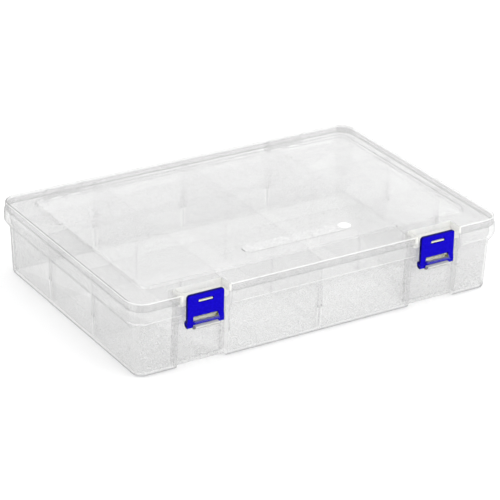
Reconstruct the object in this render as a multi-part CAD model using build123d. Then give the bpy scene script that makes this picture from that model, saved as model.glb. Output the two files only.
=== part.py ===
from build123d import *
from math import cos, radians
import os

# Compartment storage box with a hinged lid, two snap latches and a lift-out grid of dividers.
# Millimetres. X runs along the front, Y from the front to the hinge, Z up.
# The origin is the middle of the flat underside.

# Overall, measured over the closed lid
box_length = 320.8
box_depth = 215.0
margin_height = 61.0        # underside to the flat margin of the lid
corner_radius = 13.5        # upright corners of the lid, in plan

# Lid
lid_wall = 1.6
skirt_height = 6.4          # lid margin down to the skirt's lower edge
lid_edge_radius = 1.5
panel_margin_x = 17.2       # lid edge to the raised panel
panel_margin_y = 20.8
panel_rise = 2.0
panel_radius = 8.0
panel_slope = 1.2           # how far the panel's side leans in
label_length = 95.0         # plain raised oblong on the panel
label_width = 13.0
label_rise = 0.5
label_offset = 68.0         # middle of the box to the oblong

# Tray
tray_wall = 1.8
tray_floor = 2.0
wall_inset = 3.4            # lid edge to the tray wall, at the shoulder
wall_draft = 1.8            # how far the wall leans in from the shoulder to the underside
collar_drop = 15.0          # lid margin down to where the collar starts
shoulder_drop = 6.5         # collar down to where the wall turns out to it
shoulder_radius = 3.0
collar_radius = 2.0
collar_reach = 1.0          # collar stands this far out of the lid's face
seat_gap = 0.3              # lid skirt over the collar
rim_gap = 0.3               # rim inside the skirt
rim_wall = 1.4
rim_headroom = 0.8          # rim and dividers below the lid
foot_radius = 2.6           # rounded lower edge
floor_radius = 1.6          # inside, round the floor

# Latch bays, one each side of the middle of the front
bay_margin = 58.8           # end of the lid to the middle of a bay
bay_width = 42.0
bay_setback = 5.0           # behind the tray wall
pocket_depth = 12.5         # finger pocket in the lid, behind the latch
pocket_drop = 5.4           # lid margin down to the pocket's floor
side_gap = 0.3              # pocket walls inside the bay
lip_inset = 3.0             # lid edge to the lip behind the latch
lip_drop = 10.5             # lid margin down to the lip's lower edge
catch_length = 11.6
catch_height = 1.6
catch_reach = 2.0           # how far the catch stands out of the lip
catch_drop = 7.8            # lid margin down to the middle of the catch

# Latch, a plate with two legs and a pin between them
latch_width = 30.8
latch_plate = 2.0
latch_inset = 0.6           # lid edge to the latch's face
latch_top_drop = 2.0        # lid margin down to the latch's top
latch_corner = 2.4
latch_bevel = 0.4
leg_width = 5.0
window_rise = 5.6           # pivot up to the lower edge of the plate
slot_clearance = 0.4        # round the catch
slot_corner = 0.9
pivot_inset = 1.8           # lid edge to the latch's pivot
pivot_drop = 25.2           # lid margin down to the latch's pivot
knuckle_radius = 3.1
pin_radius = 1.5
pin_clearance = 0.08
barrel_radius = 4.6
barrel_end_gap = 0.4
snap_mouth = 2.6            # the slit that a pin snaps in through

# Hinge, two groups of knuckles behind the collar
hinge_margin = 58.5         # end of the lid to the middle of a group
hinge_reach = 4.7           # lid's back edge to the hinge axis
hinge_drop = 11.0           # lid margin down to the hinge axis
hinge_lug_radius = 3.1
hinge_lug_width = 3.0
hinge_clip_radius = 3.3
hinge_clip_length = 12.0
hinge_side_gap = 0.3
hinge_clips = 2             # in each group
hinge_stop = 110.0          # degrees, where the lugs' heels meet the collar
hinge_stop_gap = 0.15

# Dividers
columns = 4
rows = 3
divider_sheet = 1.4
divider_end_gap = 0.4
channel_gap = 0.3           # each side of the divider, between its guide ribs
rib_width = 1.3
rib_depth = 2.6
rib_drop = 2.5              # shoulder down to the top of the guide ribs
lap_gap = 0.15
crown_gap = 1.5             # dividers' high part inside the lid's panel

# Worked out from the above
half_length = box_length / 2
half_depth = box_depth / 2
skirt_foot = margin_height - skirt_height
lid_ceiling = margin_height - lid_wall
panel_ceiling = lid_ceiling + panel_rise
collar_top = skirt_foot - seat_gap
rim_inset = lid_wall + rim_gap
rim_inner_inset = rim_inset + rim_wall
rim_top = lid_ceiling - rim_headroom
collar_foot = margin_height - collar_drop
shoulder_height = collar_foot - shoulder_drop
draft_rate = wall_draft / shoulder_height
bay_offset = half_length - bay_margin
lip_foot = margin_height - lip_drop
catch_level = margin_height - catch_drop
latch_top = margin_height - latch_top_drop
pocket_floor = margin_height - pocket_drop
pocket_sole = pocket_floor - lid_wall
bay_ledge = pocket_sole - seat_gap
bay_rim_inset = pocket_depth + lid_wall + rim_gap
bore_radius = pin_radius + pin_clearance
pivot_y = pivot_inset - half_depth
pivot_height = margin_height - pivot_drop
hinge_y = half_depth + hinge_reach
hinge_height = margin_height - hinge_drop
hinge_offset = half_length - hinge_margin
rib_top = shoulder_height - rib_drop
lap_height = (tray_floor + rim_top) / 2
column_pitch = box_length / columns
row_pitch = (box_depth - 2 * (wall_inset + tray_wall)) / rows
sides = (-1, 1)


def wall_inset_at(height):
    # distance from the lid's edge to the tray's drafted wall
    return wall_inset + (shoulder_height - height) * draft_rate


def plan(inset, height):
    # the box's rounded plan, drawn in by inset
    outline = RectangleRounded(
        box_length - 2 * inset, box_depth - 2 * inset, corner_radius - inset
    )
    return Pos(0, 0, height) * outline


def soften(solid, height, radius):
    # rounds the edge that runs round the solid at this height
    edges = solid.edges().filter_by_position(Axis.Z, height - 0.01, height + 0.01)
    return fillet(edges, radius)


def upright(inset, low, high):
    return extrude(plan(inset, low), high - low)


def tapered(low_inset, low, high_inset, high):
    return loft([plan(low_inset, low), plan(high_inset, high)])


def block(x_range, y_range, z_range):
    size = [b - a for a, b in (x_range, y_range, z_range)]
    middle = [(a + b) / 2 for a, b in (x_range, y_range, z_range)]
    return Pos(*middle) * Box(*size)


def side_profile(points, x_low, x_high):
    # a (y, z) outline made solid from x_low to x_high
    face = make_face(Polyline([(0, y, z) for y, z in points], close=True))
    return Pos(x_low, 0, 0) * extrude(face, x_high - x_low, dir=(1, 0, 0))


def front_profile(points, y_low, y_high):
    # an (x, z) outline made solid from y_low to y_high
    face = make_face(Polyline([(x, 0, z) for x, z in points], close=True))
    return Pos(0, y_low, 0) * extrude(face, y_high - y_low, dir=(0, 1, 0))


def rod(radius, x_low, x_high, y, z):
    return Pos((x_low + x_high) / 2, y, z) * Rot(0, 90, 0) * Cylinder(radius, x_high - x_low)


def bay_x(side, grow=0.0):
    middle = side * bay_offset
    return (middle - bay_width / 2 - grow, middle + bay_width / 2 + grow)


def bay_block(side, grow, low, high):
    # the latch bay, from in front of the box back to its drafted rear wall
    def rear(height):
        return wall_inset_at(height) + bay_setback + grow - half_depth
    front = -half_depth - 5
    points = [(front, low), (rear(low), low), (rear(high), high), (front, high)]
    return side_profile(points, *bay_x(side, grow))


def rim_bulge(side, grow):
    # where the rim goes round the lid's finger pocket
    y_range = (-half_depth - 5, bay_rim_inset + rim_wall + grow - half_depth)
    return block(bay_x(side, tray_wall + grow), y_range, (bay_ledge - tray_wall - grow, rim_top))


def hinge_spans():
    # x ranges of the tray's clips and the lid's lugs in both groups
    pitch = hinge_clip_length + 2 * hinge_side_gap + hinge_lug_width
    clips = []
    lugs = []
    for side in sides:
        for index in range(hinge_clips):
            middle = side * hinge_offset + (index - (hinge_clips - 1) / 2) * pitch
            clips.append((middle - hinge_clip_length / 2, middle + hinge_clip_length / 2))
        for index in range(hinge_clips + 1):
            middle = side * hinge_offset + (index - hinge_clips / 2) * pitch
            lugs.append((middle - hinge_lug_width / 2, middle + hinge_lug_width / 2))
    return clips, lugs


def cross_positions():
    return [(index - columns / 2) * column_pitch for index in range(1, columns)]


def row_positions():
    return [(index - rows / 2) * row_pitch for index in range(1, rows)]


def guide_ribs():
    # pairs of ribs on the tray's walls that hold the dividers' ends
    ribs = []
    offset = divider_sheet / 2 + channel_gap
    low = tray_floor - 0.5
    skin = tray_wall / 2
    deep = wall_inset_at(tray_floor) + tray_wall
    for sign in sides:
        for x in cross_positions():
            span = sorted((x + sign * offset, x + sign * (offset + rib_width)))
            front = deep + rib_depth
            if any(bay_x(s, tray_wall)[0] < x < bay_x(s, tray_wall)[1] for s in sides):
                front = front + bay_setback
            root = wall_inset + skin + wall_draft
            ribs.append(block(span, (root - half_depth, front - half_depth), (low, rib_top)))
            back = half_depth - deep - rib_depth
            ribs.append(block(span, (back, half_depth - root), (low, rib_top)))
        for y in row_positions():
            span = sorted((y + sign * offset, y + sign * (offset + rib_width)))
            root = half_length - wall_inset - skin - wall_draft
            tip = half_length - deep - rib_depth
            ribs.append(block((tip, root), span, (low, rib_top)))
            ribs.append(block((-root, -tip), span, (low, rib_top)))
    return ribs


def latch_barrel(side):
    # open clip on the bay's rear wall that the latch's pin snaps into from the front
    half = latch_width / 2 - leg_width - barrel_end_gap
    x_low = side * bay_offset - half
    x_high = side * bay_offset + half
    rear = wall_inset_at(pivot_height) + bay_setback + tray_wall / 2 - half_depth
    web = (pivot_y, rear)
    body = rod(barrel_radius, x_low, x_high, pivot_y, pivot_height)
    body += block((x_low, x_high), web, (pivot_height - bore_radius, pivot_height + bore_radius))
    body -= rod(bore_radius, x_low - 1, x_high + 1, pivot_y, pivot_height)
    mouth = (pivot_height - snap_mouth / 2, pivot_height + snap_mouth / 2)
    return body - block((x_low - 1, x_high + 1), (pivot_y - barrel_radius - 1, pivot_y), mouth)


def hinge_clip(x_low, x_high):
    # open clip behind the collar that the lid's pin snaps into from the back
    body = rod(hinge_clip_radius, x_low, x_high, hinge_y, hinge_height)
    arm = (half_depth + collar_reach - rim_wall / 2, hinge_y)
    body += block((x_low, x_high), arm, (hinge_height - hinge_clip_radius, hinge_height + bore_radius))
    body -= rod(bore_radius, x_low - 1, x_high + 1, hinge_y, hinge_height)
    mouth = (hinge_height - snap_mouth / 2, hinge_height + snap_mouth / 2)
    return body - block((x_low - 1, x_high + 1), (hinge_y, hinge_y + hinge_clip_radius + 1), mouth)


def make_tray():
    outside = tapered(wall_inset_at(0), 0, wall_inset, shoulder_height)
    outside = fillet(outside.faces().sort_by(Axis.Z)[0].edges(), foot_radius)
    outside += tapered(wall_inset, shoulder_height, -collar_reach, collar_foot)
    outside += upright(-collar_reach, collar_foot, collar_top)
    outside = soften(outside, shoulder_height, shoulder_radius)
    outside = soften(outside, collar_foot, collar_radius)
    outside += upright(rim_inset, collar_top, rim_top)

    turn = shoulder_height + tray_wall / 2
    inside = tapered(
        wall_inset_at(tray_floor) + tray_wall, tray_floor, wall_inset_at(turn) + tray_wall, turn
    )
    inside = fillet(inside.faces().sort_by(Axis.Z)[0].edges(), floor_radius)
    inside += tapered(wall_inset_at(turn) + tray_wall, turn, rim_inner_inset, collar_foot + tray_wall / 2)
    inside += upright(rim_inner_inset, collar_foot + tray_wall / 2, rim_top + 1)
    inside = soften(inside, turn, shoulder_radius + tray_wall)
    for side in sides:
        inside -= bay_block(side, tray_wall, -1, bay_ledge)
        inside -= rim_bulge(side, 0)
    tray = outside - inside
    for rib in guide_ribs():
        tray += rib
    for side in sides:
        tray -= bay_block(side, 0, -1, bay_ledge)
        tray -= block(bay_x(side), (-half_depth - 5, bay_rim_inset - half_depth), (bay_ledge, rim_top + 1))
        tray += latch_barrel(side)
    for span in hinge_spans()[0]:
        tray += hinge_clip(*span)
    return tray


def lid_pocket(side):
    # the lowered part of the lid behind a latch, with its lip and catch
    x_low, x_high = bay_x(side, -side_gap)
    front = -half_depth
    rear = pocket_depth + lid_wall - half_depth
    body = block((x_low, x_high), (front, rear), (pocket_sole, margin_height))
    room = block(
        (x_low + lid_wall, x_high - lid_wall), (front - 1, pocket_depth - half_depth),
        (pocket_floor, margin_height + 1),
    )
    body -= room
    body -= block((x_low, x_high), (front - 1, lip_inset - half_depth), (pocket_sole - 1, pocket_floor))
    lip = (lip_inset - half_depth, lip_inset + lid_wall - half_depth)
    body += block((x_low, x_high), lip, (lip_foot, pocket_floor))
    root = lip_inset - half_depth
    points = [
        (root + lid_wall / 2, catch_level + catch_height / 2),
        (root, catch_level + catch_height / 2),
        (root - catch_reach, catch_level),
        (root - catch_reach, catch_level - catch_height / 2),
        (root + lid_wall / 2, catch_level - catch_height / 2),
    ]
    middle = side * bay_offset
    return body + side_profile(points, middle - catch_length / 2, middle + catch_length / 2)


def hinge_lug(x_low, x_high):
    # arm from the lid's back skirt down to the hinge pin
    points = [
        (half_depth - lid_wall / 2, skirt_foot),
        (half_depth - lid_wall / 2, margin_height - lid_edge_radius - 1),
        (half_depth + 1, margin_height - lid_edge_radius - 1),
        (hinge_y + hinge_lug_radius, hinge_height + hinge_lug_radius),
        (hinge_y + hinge_lug_radius, hinge_height),
        (hinge_y - hinge_lug_radius, hinge_height),
        (hinge_y - hinge_lug_radius, skirt_foot),
    ]
    arm = side_profile(points, x_low, x_high)
    heel = (hinge_reach - collar_reach - hinge_stop_gap) / -cos(radians(45 + hinge_stop))
    heel = heel * cos(radians(45))
    arm += block((x_low, x_high), (hinge_y, hinge_y + heel), (hinge_height - heel, hinge_height))
    return arm + rod(hinge_lug_radius, x_low, x_high, hinge_y, hinge_height)


def panel_plan(grow, height):
    outline = RectangleRounded(
        box_length - 2 * (panel_margin_x - grow), box_depth - 2 * (panel_margin_y - grow),
        panel_radius + grow,
    )
    return Pos(0, 0, height) * outline


def make_lid():
    outside = upright(0, skirt_foot, margin_height)
    outside = fillet(outside.faces().sort_by(Axis.Z)[-1].edges(), lid_edge_radius)
    outside += loft([
        panel_plan(0, margin_height), panel_plan(-panel_slope, margin_height + panel_rise)
    ])
    label = SlotOverall(label_length, label_width)
    outside += extrude(Pos(0, -label_offset, margin_height + panel_rise) * label, label_rise, taper=30)
    inside = upright(lid_wall, skirt_foot - 1, lid_ceiling)
    inside += loft([panel_plan(-lid_wall, lid_ceiling), panel_plan(-lid_wall - panel_slope, panel_ceiling)])
    lid = outside - inside
    for side in sides:
        lid -= block(
            bay_x(side, -side_gap), (-half_depth - 1, pocket_depth + lid_wall - half_depth),
            (skirt_foot - 1, margin_height + 1),
        )
        lid += lid_pocket(side)
    spans = hinge_spans()[1]
    for span in spans:
        lid += hinge_lug(*span)
    group = hinge_clips + 1
    for first in (0, group):
        lid += rod(pin_radius, spans[first][0], spans[first + group - 1][1], hinge_y, hinge_height)
    return lid


def make_latch(side):
    middle = side * bay_offset
    half = latch_width / 2
    front = latch_inset - half_depth
    plate_height = latch_top - pivot_height
    plate = Pos(middle, front, pivot_height + plate_height / 2) * Rot(90, 0, 0) * Box(
        latch_width, plate_height, latch_plate, align=(Align.CENTER, Align.CENTER, Align.MAX)
    )
    corners = plate.edges().filter_by(Axis.Y).group_by(Axis.Z)[-1]
    latch = fillet(corners, latch_corner)
    latch = chamfer(latch.faces().sort_by(Axis.Y)[0].edges(), latch_bevel)
    window = (middle - half + leg_width, middle + half - leg_width)
    latch -= block(
        window, (front - 1, front + latch_plate + 1), (pivot_height - 1, pivot_height + window_rise)
    )
    slot = RectangleRounded(
        catch_length + 2 * slot_clearance, catch_height + 2 * slot_clearance, slot_corner
    )
    slot = Pos(middle, front + latch_plate + 1, catch_level) * Rot(90, 0, 0) * slot
    latch -= extrude(slot, latch_plate + 2)
    for x_low in (middle - half, window[1]):
        x_high = x_low + leg_width
        knuckle = rod(knuckle_radius, x_low, x_high, pivot_y, pivot_height)
        ahead = block((x_low - 1, x_high + 1), (front - knuckle_radius, front), (0, latch_top))
        latch += knuckle - ahead
    latch += rod(pin_radius, middle - half, middle + half, pivot_y, pivot_height)
    return latch


def top_line(span, panel_half):
    # upper outline of a divider: high under the lid's panel, lower at its ends
    high = panel_ceiling - rim_headroom
    crown = panel_half - crown_gap
    return [
        (span, rim_top), (crown + panel_slope, rim_top), (crown, high),
        (-crown, high), (-crown - panel_slope, rim_top), (-span, rim_top),
    ]


def divider_outline(half, panel_half):
    # a sheet that fills the tray's section, with its lower corners cut off
    low = half - wall_inset_at(tray_floor) - tray_wall - divider_end_gap
    high = half - wall_inset_at(rim_top) - tray_wall - divider_end_gap
    nip = floor_radius + 0.6
    side = [(low - nip, tray_floor), (low, tray_floor + nip)]
    left = [(-a, b) for a, b in reversed(side)]
    return left + side + top_line(high, panel_half)


def make_cross_divider(x):
    panel_half = half_depth - panel_margin_y - lid_wall - panel_slope
    points = divider_outline(half_depth, panel_half)
    sheet = side_profile(points, x - divider_sheet / 2, x + divider_sheet / 2)
    for y in row_positions():
        reach = divider_sheet / 2 + lap_gap
        sheet -= block((x - 2, x + 2), (y - reach, y + reach), (tray_floor - 1, lap_height + lap_gap))
    for side in sides:
        sheet -= bay_block(side, tray_wall + divider_end_gap, -1, bay_ledge)
        sheet -= rim_bulge(side, divider_end_gap)
    return sheet


def make_row_divider(y):
    panel_half = half_length - panel_margin_x - lid_wall - panel_slope
    points = divider_outline(half_length, panel_half)
    sheet = front_profile(points, y - divider_sheet / 2, y + divider_sheet / 2)
    for x in cross_positions():
        reach = divider_sheet / 2 + lap_gap
        top = panel_ceiling + 1
        sheet -= block((x - reach, x + reach), (y - 2, y + 2), (lap_height - lap_gap, top))
    return sheet


def write(node, solid):
    export_step(solid, os.path.join("parts", node + ".step"))


os.makedirs("parts", exist_ok=True)
write("base_tray", make_tray())
write("lid", make_lid())
write("latch_left", make_latch(-1))
write("latch_right", make_latch(1))
for number, x in enumerate(cross_positions(), 1):
    write("cross_divider_%d" % number, make_cross_divider(x))
for number, y in enumerate(row_positions(), 1):
    write("row_divider_%d" % number, make_row_divider(y))
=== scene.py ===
import math

import bpy
from mathutils import Matrix, Vector

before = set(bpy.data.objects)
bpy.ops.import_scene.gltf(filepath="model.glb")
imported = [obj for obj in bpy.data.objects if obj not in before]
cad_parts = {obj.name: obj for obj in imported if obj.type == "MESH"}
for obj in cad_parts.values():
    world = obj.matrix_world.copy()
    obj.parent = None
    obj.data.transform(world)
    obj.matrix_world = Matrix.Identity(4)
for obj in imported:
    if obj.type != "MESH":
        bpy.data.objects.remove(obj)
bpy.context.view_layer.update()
print("frame loaded:", len(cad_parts), "pieces")

scene = bpy.context.scene

cameraPlan = {
    "place": (-0.8778, -1.3996, 0.8082),
    "target": (-0.00595, -0.01170, 0.03045),
    "roll": 1.465,             # degrees
    "focalPixels": 2362.74,
    "frameWidth": 500,
    "sensor": 36.0,            # millimetres
    "clip": (0.05, 20.0),
}


def makeCamera(plan):
    data = bpy.data.cameras.new("viewCamera")
    data.sensor_width = plan["sensor"]
    data.lens = plan["focalPixels"] / plan["frameWidth"] * plan["sensor"]
    data.clip_start, data.clip_end = plan["clip"]
    camera = bpy.data.objects.new("viewCamera", data)
    place = Vector(plan["place"])
    back = (place - Vector(plan["target"])).normalized()
    right = Vector((0, 0, 1)).cross(back).normalized()
    up = back.cross(right)
    roll = math.radians(plan["roll"])
    turnedRight = right * math.cos(roll) + up * math.sin(roll)
    turnedUp = back.cross(turnedRight)
    turn = Matrix((turnedRight, turnedUp, back)).transposed().to_4x4()
    camera.matrix_world = Matrix.Translation(place) @ turn
    scene.collection.objects.link(camera)
    scene.camera = camera


def newMaterial(name):
    material = bpy.data.materials.new(name)
    material.use_nodes = True
    return material, material.node_tree, material.node_tree.nodes["Principled BSDF"]


stagePlan = {
    "floorSize": 6.0,
    "floorColour": (0.98, 0.98, 0.98, 1),
    "floorRough": 0.9,
    "skyColour": (1, 1, 1, 1),
    "skyStrength": 1.095,
    "lightSize": 2.4,
    "keyPower": 20.0,
    "keyPlace": (1.5, -1.2, 1.3),
    "backPower": 1.5,
    "backPlace": (-0.4, 1.6, 1.6),
    "clearLayers": 64,         # see-through layers that one ray may cross
}


def areaLight(name, place, size, power):
    data = bpy.data.lights.new(name, "AREA")
    data.energy = power
    data.size = size
    light = bpy.data.objects.new(name, data)
    light.location = place
    light.rotation_mode = "QUATERNION"
    light.rotation_quaternion = Vector(place).to_track_quat("Z", "Y")
    scene.collection.objects.link(light)


def makeStage(plan):
    half = plan["floorSize"] / 2
    corners = [(-half, -half, 0), (half, -half, 0), (half, half, 0), (-half, half, 0)]
    mesh = bpy.data.meshes.new("floor")
    mesh.from_pydata(corners, [], [(0, 1, 2, 3)])
    material, tree, shader = newMaterial("paleFloor")
    shader.inputs["Base Color"].default_value = plan["floorColour"]
    shader.inputs["Roughness"].default_value = plan["floorRough"]
    mesh.materials.append(material)
    floor = bpy.data.objects.new("floor", mesh)
    scene.collection.objects.link(floor)
    world = bpy.data.worlds.new("studio")
    world.use_nodes = True
    sky = world.node_tree.nodes["Background"]
    sky.inputs["Color"].default_value = plan["skyColour"]
    sky.inputs["Strength"].default_value = plan["skyStrength"]
    scene.world = world
    areaLight("keyLight", plan["keyPlace"], plan["lightSize"], plan["keyPower"])
    areaLight("backLight", plan["backPlace"], plan["lightSize"], plan["backPower"])
    scene.view_settings.view_transform = "Standard"
    scene.cycles.transparent_max_bounces = plan["clearLayers"]


def newGroup(name, inputs, outputs):
    group = bpy.data.node_groups.new(name, "ShaderNodeTree")
    for label, kind, value in inputs:
        socket = group.interface.new_socket(label, in_out="INPUT", socket_type=kind)
        socket.default_value = value
    for label, kind in outputs:
        group.interface.new_socket(label, in_out="OUTPUT", socket_type=kind)
    start = group.nodes.new("NodeGroupInput")
    end = group.nodes.new("NodeGroupOutput")
    return group, start, end


def placeGroup(tree, group, **values):
    node = tree.nodes.new("ShaderNodeGroup")
    node.node_tree = group
    for label, value in values.items():
        node.inputs[label].default_value = value
    return node


def mathNode(tree, operation, *values):
    node = tree.nodes.new("ShaderNodeMath")
    node.operation = operation
    for socket, value in zip(node.inputs, values):
        if isinstance(value, (int, float)):
            socket.default_value = value
        else:
            tree.links.new(value, socket)
    return node.outputs[0]


def mixColours(tree, mask, *colours):
    # from the first colour to the second one where the mask is 1; each is a tuple or a socket
    node = tree.nodes.new("ShaderNodeMix")
    node.data_type = "RGBA"
    tree.links.new(mask, node.inputs["Factor"])
    for label, colour in zip("AB", colours):
        if isinstance(colour, tuple):
            node.inputs[label].default_value = colour
        else:
            tree.links.new(colour, node.inputs[label])
    return node.outputs["Result"]


def tone(colour, share=1):
    return (*[min(part * share, 1) for part in colour], 1)


grainPlan = {
    "fineScale": 1300.0,
    "fineDetail": 2.0,
    "fineShare": 0.8,
    "coarseScale": 420.0,
    "coarseDetail": 3.0,
    "coarseShare": 0.2,
    "crisp": (0.36, 0.64),     # the mask runs from 0 to 1 between these
}


def mouldGrainGroup(plan):
    # fine orange-peel of moulded plastic: a height, and a mask for colour and clearness
    group, start, end = newGroup(
        "mouldGrain",
        [
            ("Scale", "NodeSocketFloat", plan["fineScale"]),
            ("Coarse", "NodeSocketFloat", plan["coarseScale"]),
        ],
        [("Height", "NodeSocketFloat"), ("Mask", "NodeSocketFloat")],
    )
    nodes, links = group.nodes, group.links
    place = nodes.new("ShaderNodeTexCoord")
    fine = nodes.new("ShaderNodeTexNoise")
    fine.inputs["Detail"].default_value = plan["fineDetail"]
    coarse = nodes.new("ShaderNodeTexNoise")
    coarse.inputs["Detail"].default_value = plan["coarseDetail"]
    for noise, label in ((fine, "Scale"), (coarse, "Coarse")):
        links.new(place.outputs["Object"], noise.inputs["Vector"])
        links.new(start.outputs[label], noise.inputs["Scale"])
    coarsePart = mathNode(group, "MULTIPLY", coarse.outputs["Fac"], plan["coarseShare"])
    both = mathNode(group, "MULTIPLY_ADD", fine.outputs["Fac"], plan["fineShare"], coarsePart)
    crisp = nodes.new("ShaderNodeMapRange")
    crisp.inputs["From Min"].default_value = plan["crisp"][0]
    crisp.inputs["From Max"].default_value = plan["crisp"][1]
    links.new(both, crisp.inputs["Value"])
    links.new(fine.outputs["Fac"], end.inputs["Height"])
    links.new(crisp.outputs["Result"], end.inputs["Mask"])
    return group


edgeLightAndShadePlan = {
    "strength": 3.0,           # starting values, each finish sets its own
    "radius": 0.0007,
    "samples": 4,
}


def edgeLightAndShadeGroup(plan):
    # a mask for painted highlight and painted shade along edges: 1 on an edge of the piece, fading
    # within the radius
    group, start, end = newGroup(
        "edgeLightAndShade",
        [
            ("Strength", "NodeSocketFloat", plan["strength"]),
            ("Radius", "NodeSocketFloat", plan["radius"]),
        ],
        [("Mask", "NodeSocketFloat")],
    )
    nodes, links = group.nodes, group.links
    rounded = nodes.new("ShaderNodeBevel")
    rounded.samples = plan["samples"]
    links.new(start.outputs["Radius"], rounded.inputs["Radius"])
    surface = nodes.new("ShaderNodeNewGeometry")
    turned = nodes.new("ShaderNodeVectorMath")
    turned.operation = "DOT_PRODUCT"
    links.new(rounded.outputs["Normal"], turned.inputs[0])
    links.new(surface.outputs["Normal"], turned.inputs[1])
    away = mathNode(group, "SUBTRACT", 1.0, mathNode(group, "ABSOLUTE", turned.outputs["Value"]))
    mask = mathNode(group, "MULTIPLY", away, start.outputs["Strength"])
    mask.node.use_clamp = True
    links.new(mask, end.inputs["Mask"])
    return group


spotPlan = {
    "radius": 0.005,           # a starting value, the piece sets its own
    "solidShare": 0.7,         # the mask is 1 up to this share of the radius
}


def softSpotGroup(plan):
    # a round patch about a point on the piece: 1 at its middle, 0 beyond its radius
    group, start, end = newGroup(
        "softSpot",
        [
            ("Middle", "NodeSocketVector", (0, 0, 0)),
            ("Radius", "NodeSocketFloat", plan["radius"]),
        ],
        [("Mask", "NodeSocketFloat")],
    )
    nodes, links = group.nodes, group.links
    place = nodes.new("ShaderNodeTexCoord")
    reach = nodes.new("ShaderNodeVectorMath")
    reach.operation = "DISTANCE"
    links.new(place.outputs["Object"], reach.inputs[0])
    links.new(start.outputs["Middle"], reach.inputs[1])
    share = mathNode(group, "DIVIDE", reach.outputs["Value"], start.outputs["Radius"])
    fade = nodes.new("ShaderNodeMapRange")
    fade.interpolation_type = "SMOOTHSTEP"
    fade.inputs["From Min"].default_value = plan["solidShare"]
    fade.inputs["To Min"].default_value = 1.0
    fade.inputs["To Max"].default_value = 0.0
    links.new(share, fade.inputs["Value"])
    links.new(fade.outputs["Result"], end.inputs["Mask"])
    return group


def grainSurface(tree, shader, peel, rough, plan):
    # the grain gives the roughness, rough on average, and a shallow relief
    doubled = mathNode(tree, "MULTIPLY", peel.outputs["Mask"], rough * 2)
    tree.links.new(doubled, shader.inputs["Roughness"])
    bump = tree.nodes.new("ShaderNodeBump")
    bump.inputs["Strength"].default_value = plan["bumpStrength"]
    bump.inputs["Distance"].default_value = plan["bumpDepth"]
    tree.links.new(peel.outputs["Height"], bump.inputs["Height"])
    tree.links.new(bump.outputs["Normal"], shader.inputs["Normal"])


# A finish of the clear plastic, in the plans of the tray, the lid and the dividers, has:
#   colour, mottle    its colour, and how far the grain makes that darker and lighter
#   skin              share of the colour that is left where the surface turns away, a painted shade
#   face, edge        density seen square on, and where the surface turns away
#   falloff           how late the surface counts as turned away
#   grain, rough      how far the grain changes the density, and the average roughness
#   specular          strength of the reflections
#   paintedLine, paintedLineTone, paintedLineReach    strength, grey tone and width of a painted line along its edges, painted highlight where the tone is light and painted shade where it is dark
plasticPlan = {
    "ior": 1.49,
    "facingBlend": 0.5,
    "specular": 0.4,           # this and the next two serve finishes that give none of their own
    "paintedLineTone": 1.0,
    "paintedLineReach": 0.0007,
    "paintedLineDensity": 0.8,
    "bumpStrength": 0.15,
    "bumpDepth": 0.0002,
}


def translucent(name, finish, grain, edgeLightAndShade):
    # milky clear plastic: thin where it is seen square on, denser along its skin, and darker there
    # as a painted shade
    values = {**plasticPlan, **finish}
    density, mottle, speckles = values["face"], values["mottle"], values["grain"]
    material, tree, shader = newMaterial(name)
    shader.inputs["IOR"].default_value = values["ior"]
    shader.inputs["Specular IOR Level"].default_value = values["specular"]
    peel = placeGroup(tree, grain)
    darker = tone(values["colour"], 1 - mottle)
    lighter = tone(values["colour"], 1 + mottle)
    tint = mixColours(tree, peel.outputs["Mask"], darker, lighter)
    facing = tree.nodes.new("ShaderNodeLayerWeight")
    facing.inputs["Blend"].default_value = values["facingBlend"]
    grazing = mathNode(tree, "POWER", facing.outputs["Facing"], values["falloff"])
    # painted shade: the colour darkens where the surface turns away from view
    colour = mixColours(tree, grazing, tint, tone(values["colour"], values["skin"]))
    skin = mathNode(tree, "MULTIPLY_ADD", grazing, values["edge"] - density, density)
    speckle = mathNode(tree, "MULTIPLY_ADD", peel.outputs["Mask"], speckles, 1.0 - speckles / 2)
    alpha = mathNode(tree, "MULTIPLY", skin, speckle)
    # a painted line along the piece's edges: painted highlight where its tone is light, painted
    # shade where it is dark
    if "paintedLine" in finish:
        paintedLine = placeGroup(tree, edgeLightAndShade, Strength=values["paintedLine"], Radius=values["paintedLineReach"])
        line = mathNode(tree, "MULTIPLY", paintedLine.outputs["Mask"], values["paintedLineDensity"])
        alpha = mathNode(tree, "MAXIMUM", alpha, line)
        lineColour = tone((1, 1, 1), values["paintedLineTone"])
        colour = mixColours(tree, paintedLine.outputs["Mask"], colour, lineColour)
    tree.links.new(colour, shader.inputs["Base Color"])
    tree.links.new(alpha, shader.inputs["Alpha"])
    grainSurface(tree, shader, peel, values["rough"], values)
    return material


def plasticSet(piece, plan, grain, edgeLightAndShade):
    # one material for each finish, in the plan's order and named after the piece and the finish
    return {
        finish: translucent(piece + finish[0].upper() + finish[1:], values, grain, edgeLightAndShade)
        for finish, values in plan["finishes"].items()
    }


def dress(nodeName, materials, chooseFinish):
    # chooseFinish(centre, normal) names the finish of a face
    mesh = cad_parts[nodeName].data
    mesh.materials.clear()
    for material in materials.values():
        mesh.materials.append(material)
    slots = {finish: slot for slot, finish in enumerate(materials)}
    for polygon in mesh.polygons:
        polygon.material_index = slots[chooseFinish(polygon.center, polygon.normal)]


def nearPair(value, middle, reach):
    # true about a place and its mirror image
    return abs(abs(value) - middle) < reach


def nearAny(value, places, reach):
    return min(abs(value - place) for place in places) < reach


# share of a face's normal that lies along an axis
along = {
    "square": 0.9,
    "mostly": 0.7,
    "half": 0.5,
    "partly": 0.3,
    "barely": 0.1,
}
latchPivot = (-0.1057, 0.0358)     # y and z of the latch pins, in the tray's barrels

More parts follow.
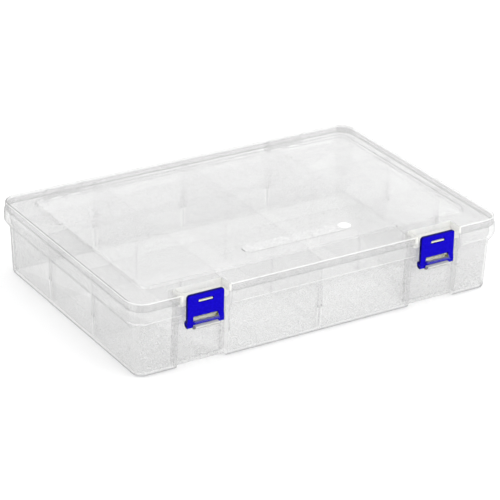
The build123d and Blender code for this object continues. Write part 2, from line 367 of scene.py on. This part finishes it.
trayPlan = {
    "finishes": {
        "wall": {
            "colour": (0.60, 0.60, 0.60), "mottle": 0.26, "skin": 0.40, "face": 0.24, "edge": 0.80,
            "falloff": 5.0, "grain": 0.6, "rough": 0.22, "specular": 0.04,
        },
        "floor": {
            "colour": (0.74, 0.74, 0.74), "mottle": 0.10, "skin": 0.6, "face": 0.05, "edge": 0.30,
            "falloff": 5.0, "grain": 0.4, "rough": 0.22, "specular": 0.2,
        },
        "rim": {
            "colour": (0.66, 0.66, 0.66), "mottle": 0.08, "skin": 0.6, "face": 0.25, "edge": 0.60,
            "falloff": 3.0, "grain": 0.3, "rough": 0.18,
        },
        "bay": {
            "colour": (0.66, 0.66, 0.66), "mottle": 0.18, "skin": 0.6, "face": 0.34, "edge": 0.75,
            "falloff": 3.0, "grain": 0.4, "rough": 0.25,
        },
        # painted shade tinted olive on the barrel, which is the tray's own clear plastic
        "barrel": {
            "colour": (0.30, 0.30, 0.10), "mottle": 0.05, "skin": 0.25, "face": 0.36, "edge": 0.95,
            "falloff": 3.0, "grain": 0.1, "rough": 0.2, "specular": 0.03,
        },
        # painted shade: near black on the rounded foot and on the barrels' ends
        "foot": {
            "colour": (0.16, 0.16, 0.17), "mottle": 0.10, "skin": 0.9, "face": 0.05, "edge": 1.0,
            "falloff": 2.5, "grain": 0.3, "rough": 0.2, "specular": 0.02,
        },
        # painted highlight: white, with white lines along its edges, on the step under the collar
        # where it faces the front and the left
        "collar": {
            "colour": (0.94, 0.94, 0.94), "mottle": 0.04, "skin": 0.12, "face": 0.38, "edge": 0.80,
            "falloff": 4.0, "grain": 0.5, "rough": 0.15, "specular": 0.05, "paintedLine": 1.4,
        },
        # painted highlight: a dense white band on the barrel below its opening
        "jaw": {
            "colour": (0.93, 0.93, 0.88), "mottle": 0.03, "skin": 0.02, "face": 0.92, "edge": 1.0,
            "falloff": 2.0, "grain": 0.05, "rough": 0.2, "specular": 0.03,
        },
        "bore": {
            "colour": (0.80, 0.80, 0.78), "mottle": 0.02, "skin": 0.5, "face": 0.03, "edge": 0.30,
            "falloff": 4.0, "grain": 0.1, "rough": 0.1, "specular": 0.2,
        },
        "rib": {
            "colour": (0.66, 0.66, 0.66), "mottle": 0.08, "skin": 0.9, "face": 0.05, "edge": 0.12,
            "falloff": 4.0, "grain": 0.3, "rough": 0.2, "specular": 0.2,
        },
        # painted shade: dark lines along the outer edges and the bays' sides
        "outside": {
            "colour": (0.60, 0.60, 0.60), "mottle": 0.26, "skin": 0.35, "face": 0.20, "edge": 0.85,
            "falloff": 6.0, "grain": 0.6, "rough": 0.22, "specular": 0.04,
            "paintedLine": 2.4, "paintedLineTone": 0.20, "paintedLineReach": 0.0010,
        },
        "rimWall": {
            "colour": (0.74, 0.74, 0.74), "mottle": 0.20, "skin": 0.6, "face": 0.09, "edge": 0.40,
            "falloff": 5.0, "grain": 0.5, "rough": 0.2, "specular": 0.2,
        },
        # painted shade: a dark line along the rounded foot at the front
        "footLine": {
            "colour": (0.26, 0.26, 0.27), "mottle": 0.10, "skin": 0.9, "face": 0.32, "edge": 1.0,
            "falloff": 2.5, "grain": 0.3, "rough": 0.2, "specular": 0.02,
        },
        # painted shade: a darker, denser copy of the outer wall on the front, with dark lines along
        # its edges
        "front": {
            "colour": (0.57, 0.57, 0.57), "mottle": 0.30, "skin": 0.35, "face": 0.32, "edge": 0.85,
            "falloff": 6.0, "grain": 0.7, "rough": 0.22, "specular": 0.04,
            "paintedLine": 1.6, "paintedLineTone": 0.20, "paintedLineReach": 0.0010,
        },
        # painted shade: darker and denser on the outward faces of the back corners
        "corner": {
            "colour": (0.54, 0.54, 0.54), "mottle": 0.20, "skin": 0.35, "face": 0.28, "edge": 0.90,
            "falloff": 3.0, "grain": 0.5, "rough": 0.22, "specular": 0.03,
        },
        "clip": {
            "colour": (0.66, 0.66, 0.66), "mottle": 0.10, "skin": 0.6, "face": 0.08, "edge": 0.35,
            "falloff": 3.0, "grain": 0.3, "rough": 0.2, "specular": 0.05,
        },
    },
    "bayMiddle": 0.1016,
    "bayHalf": 0.0215,
    "bayFront": -0.0920,       # a bay's faces lie in front of this
    "bayTop": 0.0535,
    "barrelReach": 0.0048,
    "boreReach": 0.0022,
    "boreOpening": (0.0006, 0.0026),   # heights above the pivot where the barrel is cut open
    "rimTop": 0.0580,
    "hingeFront": 0.1085,
    "rearCorners": (0.1490, 0.0930),
    "crossPlaces": (-0.0802, 0.0, 0.0802),
    "rowPlaces": (-0.0341, 0.0341),
    "ribReach": 0.0045,
    "ribZone": (0.1380, 0.0860),       # the ribs stand farther out than this
    "ribRoots": (0.1540, 0.1005),      # and farther out than this only their flanks count
    "footTop": 0.0027,
    "footTurn": (-0.97, -0.1),         # upright parts of the normals on the rounded foot
    "collarFoot": (0.0440, 0.0485),
    "collarTurn": (-0.9, -0.2),        # the same for the step under the collar
    "collarEnds": (0.148, 0.060),      # the painted highlight on the step ends here on the right and at the back
    "rimFoot": 0.0545,
    "rimFront": -0.1,
    "outerFaces": (0.1545, 0.1015),
}


def barrelFinish(normal, fromPivot, above):
    low, high = trayPlan["boreOpening"]
    if abs(normal.x) > along["square"]:
        return "foot"
    if fromPivot < trayPlan["boreReach"] or low < above < high:
        return "bore"
    return "jaw" if above < low else "barrel"


def onRib(centre, normal):
    zoneX, zoneY = trayPlan["ribZone"]
    rootX, rootY = trayPlan["ribRoots"]
    reach = trayPlan["ribReach"]
    if nearAny(centre.y, trayPlan["rowPlaces"], reach) and abs(centre.x) > zoneX:
        if abs(normal.y) > along["mostly"] or abs(centre.x) < rootX:
            return True
    if nearAny(centre.x, trayPlan["crossPlaces"], reach) and abs(centre.y) > zoneY:
        return abs(normal.x) > along["mostly"] or abs(centre.y) < rootY
    return False


def atRearCorner(centre, normal, corners, limit):
    # the outward faces of the two corners at the back
    atCorner = abs(centre.x) > corners[0] and centre.y > corners[1]
    outward = centre.x * normal.x > 0 and centre.y * normal.y > 0
    return atCorner and outward and abs(normal.z) < limit


def trayFaces(centre, normal):
    above = centre.z - latchPivot[1]
    fromPivot = math.hypot(centre.y - latchPivot[0], above)
    besideLatch = nearPair(centre.x, trayPlan["bayMiddle"], trayPlan["bayHalf"])
    if besideLatch and centre.y < trayPlan["bayFront"]:
        if fromPivot < trayPlan["barrelReach"]:
            return barrelFinish(normal, fromPivot, above)
        if abs(normal.x) > along["square"]:
            return "outside"
        if centre.z < trayPlan["bayTop"]:
            return "bay"
    if centre.z > trayPlan["rimTop"] and normal.z > along["square"]:
        return "rim"
    if centre.y > trayPlan["hingeFront"]:
        return "clip"
    if atRearCorner(centre, normal, trayPlan["rearCorners"], along["mostly"]):
        return "corner"
    if onRib(centre, normal):
        return "rib"
    low, high = trayPlan["footTurn"]
    if centre.z < trayPlan["footTop"] and low < normal.z < high:
        return "footLine" if normal.y < -along["barely"] else "foot"
    bottom, top = trayPlan["collarFoot"]
    low, high = trayPlan["collarTurn"]
    if bottom < centre.z < top and low < normal.z < high:
        facesFront = normal.y < -along["partly"] or normal.x < -along["half"]
        endX, endY = trayPlan["collarEnds"]
        if facesFront and centre.x < endX and centre.y < endY:
            return "collar"
    behindBays = centre.y > trayPlan["rimFront"]
    if behindBays and centre.z > trayPlan["rimFoot"] and abs(normal.z) < along["half"]:
        return "rimWall"
    if abs(normal.z) > along["square"] and centre.z < trayPlan["footTop"]:
        return "floor"
    outerX, outerY = trayPlan["outerFaces"]
    if centre.z < bottom and (abs(centre.x) > outerX or abs(centre.y) > outerY):
        return "front" if normal.y < -along["mostly"] else "outside"
    return "wall"


lidPlan = {
    "finishes": {
        # painted shade: grey lines along the edges of the lid's top and skirt
        "top": {
            "colour": (0.57, 0.57, 0.57), "mottle": 0.36, "skin": 0.22, "face": 0.22, "edge": 0.85,
            "falloff": 7.0, "grain": 0.8, "rough": 0.22, "specular": 0.06,
            "paintedLine": 1.2, "paintedLineTone": 0.32,
        },
        # painted highlight: white on the rounded top edge along the front and the left
        "edge": {
            "colour": (1.0, 1.0, 1.0), "mottle": 0.02, "skin": 0.16, "face": 0.52, "edge": 0.95,
            "falloff": 6.0, "grain": 0.1, "rough": 0.2, "specular": 0.2,
        },
        # painted shade: a dark line where the panel's step, the oblong's back and the undersides
        # turn away from view
        "step": {
            "colour": (0.36, 0.36, 0.36), "mottle": 0.08, "skin": 0.3, "face": 0.0, "edge": 0.9,
            "falloff": 2.4, "grain": 0.2, "rough": 0.18, "specular": 0.03,
        },
        # painted highlight: near white and dense in the latch pockets, with white lines along their
        # edges
        "pocket": {
            "colour": (0.99, 0.99, 0.93), "mottle": 0.03, "skin": 0.6, "face": 0.48, "edge": 0.80,
            "falloff": 3.0, "grain": 0.1, "rough": 0.18, "paintedLine": 1.2,
        },
        # painted shade: dark lines along the oblong's edges
        "label": {
            "colour": (0.84, 0.84, 0.84), "mottle": 0.30, "skin": 0.7, "face": 0.36, "edge": 0.75,
            "falloff": 3.0, "grain": 0.8, "rough": 0.15,
            "paintedLine": 0.8, "paintedLineTone": 0.30, "paintedLineReach": 0.0005,
        },
        "panel": {
            "colour": (0.68, 0.68, 0.68), "mottle": 0.44, "skin": 0.55, "face": 0.205, "edge": 0.80,
            "falloff": 4.0, "grain": 1.4, "rough": 0.22, "specular": 0.3,
        },
        "edgeShade": {
            "colour": (0.10, 0.10, 0.10), "mottle": 0.05, "skin": 0.7, "face": 0.70, "edge": 0.95,
            "falloff": 3.0, "grain": 0.1, "rough": 0.2, "specular": 0.02,
        },
        # painted highlight: dense cream white on the catches
        "catch": {
            "colour": (0.93, 0.93, 0.76), "mottle": 0.02, "skin": 0.3, "face": 0.93, "edge": 1.0,
            "falloff": 3.0, "grain": 0.05, "rough": 0.2, "specular": 0.2,
        },
        # painted shade: a dark line where the rounded edge flattens out along the left
        "leftLine": {
            "colour": (0.30, 0.30, 0.30), "mottle": 0.10, "skin": 0.7, "face": 0.45, "edge": 0.85,
            "falloff": 3.0, "grain": 0.4, "rough": 0.2, "specular": 0.02,
        },
        "lug": {
            "colour": (0.66, 0.66, 0.66), "mottle": 0.10, "skin": 0.65, "face": 0.10, "edge": 0.44,
            "falloff": 3.0, "grain": 0.3, "rough": 0.2, "specular": 0.05,
        },
        # painted shade: darker and denser on the outward faces of the back corners
        "corner": {
            "colour": (0.54, 0.54, 0.54), "mottle": 0.20, "skin": 0.35, "face": 0.36, "edge": 0.90,
            "falloff": 3.0, "grain": 0.5, "rough": 0.22, "specular": 0.03,
        },
        # painted shade: grey on the front side of the oblong
        "labelSide": {
            "colour": (0.42, 0.42, 0.42), "mottle": 0.30, "skin": 0.7, "face": 0.24, "edge": 0.60,
            "falloff": 4.0, "grain": 0.9, "rough": 0.2, "specular": 0.04,
        },
    },
    "hingeFront": 0.1085,
    "rearCorners": (0.1510, 0.0970),
    "rearTurn": 0.8,           # above this upright part of the normal a face belongs to the top
    "pocketMiddle": 0.1016,
    "pocketHalf": 0.0212,
    "pocketBack": -0.0925,
    "catchHalf": 0.0065,
    "catchBack": -0.1048,
    "catchTop": 0.0560,
    "panelHalf": (0.1445, 0.0880),
    "panelFoot": 0.0605,
    "panelFlat": 0.95,         # below this upright part of the normal the panel slopes
    "labelFoot": 0.0630,       # the oblong's sides stand between this and its top
    "labelTop": 0.0633,
    "labelTurn": 0.8,
    "whiteSpotMiddle": (0.0425, -0.0675, 0.0635),   # a whiter, denser round spot at the oblong's right end
    "whiteSpotRadius": 0.0060,
    "whiteSpotDensity": 0.9,
    "edgeFoot": 0.0592,        # the rounded top edge starts here
    "edgeTurn": (0.45, 0.99),
    "crownTurn": 0.80,         # from here up the rounded edge is nearly flat
    "frontCrownTurn": 0.87,    # and this is the same limit along the front
    "frontLean": 0.2,
    "ceiling": 0.0560,
}


def whitenSpot(material, plan, softSpot):
    # the oblong is whiter and denser at the round spot at its end
    tree = material.node_tree
    shader = tree.nodes["Principled BSDF"]
    spot = placeGroup(tree, softSpot, Middle=plan["whiteSpotMiddle"], Radius=plan["whiteSpotRadius"])
    colour = shader.inputs["Base Color"].links[0].from_socket
    thin = shader.inputs["Alpha"].links[0].from_socket
    dense = mathNode(tree, "MULTIPLY", spot.outputs["Mask"], plan["whiteSpotDensity"])
    whiter = mixColours(tree, spot.outputs["Mask"], colour, (1, 1, 1, 1))
    tree.links.new(whiter, shader.inputs["Base Color"])
    tree.links.new(mathNode(tree, "MAXIMUM", thin, dense), shader.inputs["Alpha"])


def labelFinish(normal):
    # the oblong's sides: painted shade at its ends, grey painted shade along the front and a thin
    # dark painted line at the back
    if abs(normal.x) > lidPlan["labelTurn"]:
        return "edgeShade"
    return "labelSide" if normal.y < 0 else "step"


def roundedEdgeFinish(normal):
    # painted highlight along the front and the left, and a painted shade line where the other sides
    # flatten out
    if normal.y > along["barely"] or normal.x > along["partly"]:
        return "edgeShade" if normal.z > lidPlan["crownTurn"] else "top"
    alongFront = normal.y < -lidPlan["frontLean"]
    if normal.z < lidPlan["crownTurn"] or (normal.z < lidPlan["frontCrownTurn"] and alongFront):
        return "edge"
    return "leftLine" if normal.x < -along["barely"] and normal.y > -along["barely"] else "top"


def lidFaces(centre, normal):
    panelX, panelY = lidPlan["panelHalf"]
    overPanel = abs(centre.x) < panelX and abs(centre.y) < panelY
    overLatch = nearPair(centre.x, lidPlan["pocketMiddle"], lidPlan["pocketHalf"])
    overCatch = nearPair(centre.x, lidPlan["pocketMiddle"], lidPlan["catchHalf"])
    low, high = lidPlan["edgeTurn"]
    if centre.y > lidPlan["hingeFront"]:
        return "lug"
    if atRearCorner(centre, normal, lidPlan["rearCorners"], lidPlan["rearTurn"]):
        return "corner"
    if overCatch and centre.y < lidPlan["catchBack"] and centre.z < lidPlan["catchTop"]:
        return "catch"
    if overPanel and centre.z > lidPlan["labelFoot"] and normal.z < lidPlan["labelTurn"]:
        return labelFinish(normal)
    if centre.z > lidPlan["labelTop"]:
        return "label"
    if overLatch and centre.y < lidPlan["pocketBack"] and centre.z < lidPlan["panelFoot"]:
        return "pocket"
    if overPanel and centre.z > lidPlan["panelFoot"]:
        return "step" if abs(normal.z) < lidPlan["panelFlat"] else "panel"
    if not overPanel and centre.z > lidPlan["edgeFoot"] and low < normal.z < high:
        return roundedEdgeFinish(normal)
    if centre.z < lidPlan["ceiling"] and normal.z < -along["square"]:
        return "step"
    return "top"


dividerPlan = {
    "finishes": {
        "sheet": {
            "colour": (0.52, 0.52, 0.52), "mottle": 0.16, "skin": 0.6, "face": 0.05, "edge": 0.34,
            "falloff": 6.0, "grain": 0.5, "rough": 0.25, "specular": 0.2,
        },
        "rim": {
            "colour": (0.50, 0.50, 0.50), "mottle": 0.10, "skin": 0.8, "face": 0.15, "edge": 0.30,
            "falloff": 2.0, "grain": 0.2, "rough": 0.2, "specular": 0.2,
        },
    },
}


def crossFaces(centre, normal):
    return "sheet" if abs(normal.x) > along["half"] or normal.z < -along["half"] else "rim"


def rowFaces(centre, normal):
    return "sheet" if abs(normal.y) > along["half"] or normal.z < -along["half"] else "rim"


latchPlan = {
    "finishes": {
        "glossBlue": {
            "colour": (0.006, 0.0, 0.56), "deep": (0.003, 0.0, 0.39), "rough": 0.16,
            "specular": 0.035, "outline": 3.0, "outlineReach": 0.0008,
        },
        # painted shade: near black blue on the faces that turn away
        "shadedBlueEdge": {
            "colour": (0.002, 0.0, 0.14), "deep": (0.001, 0.0, 0.08), "rough": 0.2,
            "specular": 0.05, "outline": 0.5, "outlineReach": 0.0004,
        },
    },
    # the colour of the painted shade along the latch's edges
    "outlineColour": (0.001, 0.0, 0.03),
    "grainScale": 1400.0,
    "bumpStrength": 0.1,
    "bumpDepth": 0.0001,
    "pinReach": 0.0017,
    "flatTurn": 0.85,          # below this the faces turn away from the front and the back
}


def latchMaterial(name, finish, plan, grain, edgeLightAndShade):
    # gloss blue, deeper here and there as the grain goes, with painted shade along its edges
    material, tree, shader = newMaterial(name)
    shader.inputs["Specular IOR Level"].default_value = finish["specular"]
    peel = placeGroup(tree, grain, Scale=plan["grainScale"])
    tint = mixColours(tree, peel.outputs["Mask"], tone(finish["deep"]), tone(finish["colour"]))
    outline = placeGroup(tree, edgeLightAndShade, Strength=finish["outline"], Radius=finish["outlineReach"])
    outlined = mixColours(tree, outline.outputs["Mask"], tint, tone(plan["outlineColour"]))
    tree.links.new(outlined, shader.inputs["Base Color"])
    grainSurface(tree, shader, peel, finish["rough"], plan)
    return material


def latchFaces(centre, normal):
    # the chamfers, the slot and window walls and the knuckle rims get a painted shade, a near black
    # blue; the latch is all one blue
    fromPivot = math.hypot(centre.y - latchPivot[0], centre.z - latchPivot[1])
    turned = abs(normal.y) < latchPlan["flatTurn"]
    return "shadedBlueEdge" if turned and fromPivot > latchPlan["pinReach"] else "glossBlue"


makeCamera(cameraPlan)
makeStage(stagePlan)
print("camera and stage made")

grain = mouldGrainGroup(grainPlan)
edgeLightAndShade = edgeLightAndShadeGroup(edgeLightAndShadePlan)
dress("base_tray", plasticSet("tray", trayPlan, grain, edgeLightAndShade), trayFaces)
lidMaterials = plasticSet("lid", lidPlan, grain, edgeLightAndShade)
whitenSpot(lidMaterials["label"], lidPlan, softSpotGroup(spotPlan))
dress("lid", lidMaterials, lidFaces)
print("tray and lid dressed")

dividerMaterials = plasticSet("divider", dividerPlan, grain, edgeLightAndShade)
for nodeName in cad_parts:
    if nodeName.startswith("cross_divider"):
        dress(nodeName, dividerMaterials, crossFaces)
    if nodeName.startswith("row_divider"):
        dress(nodeName, dividerMaterials, rowFaces)
latchMaterials = {
    finish: latchMaterial(finish, values, latchPlan, grain, edgeLightAndShade)
    for finish, values in latchPlan["finishes"].items()
}
dress("latch_left", latchMaterials, latchFaces)
dress("latch_right", latchMaterials, latchFaces)
print("dividers and latches dressed")
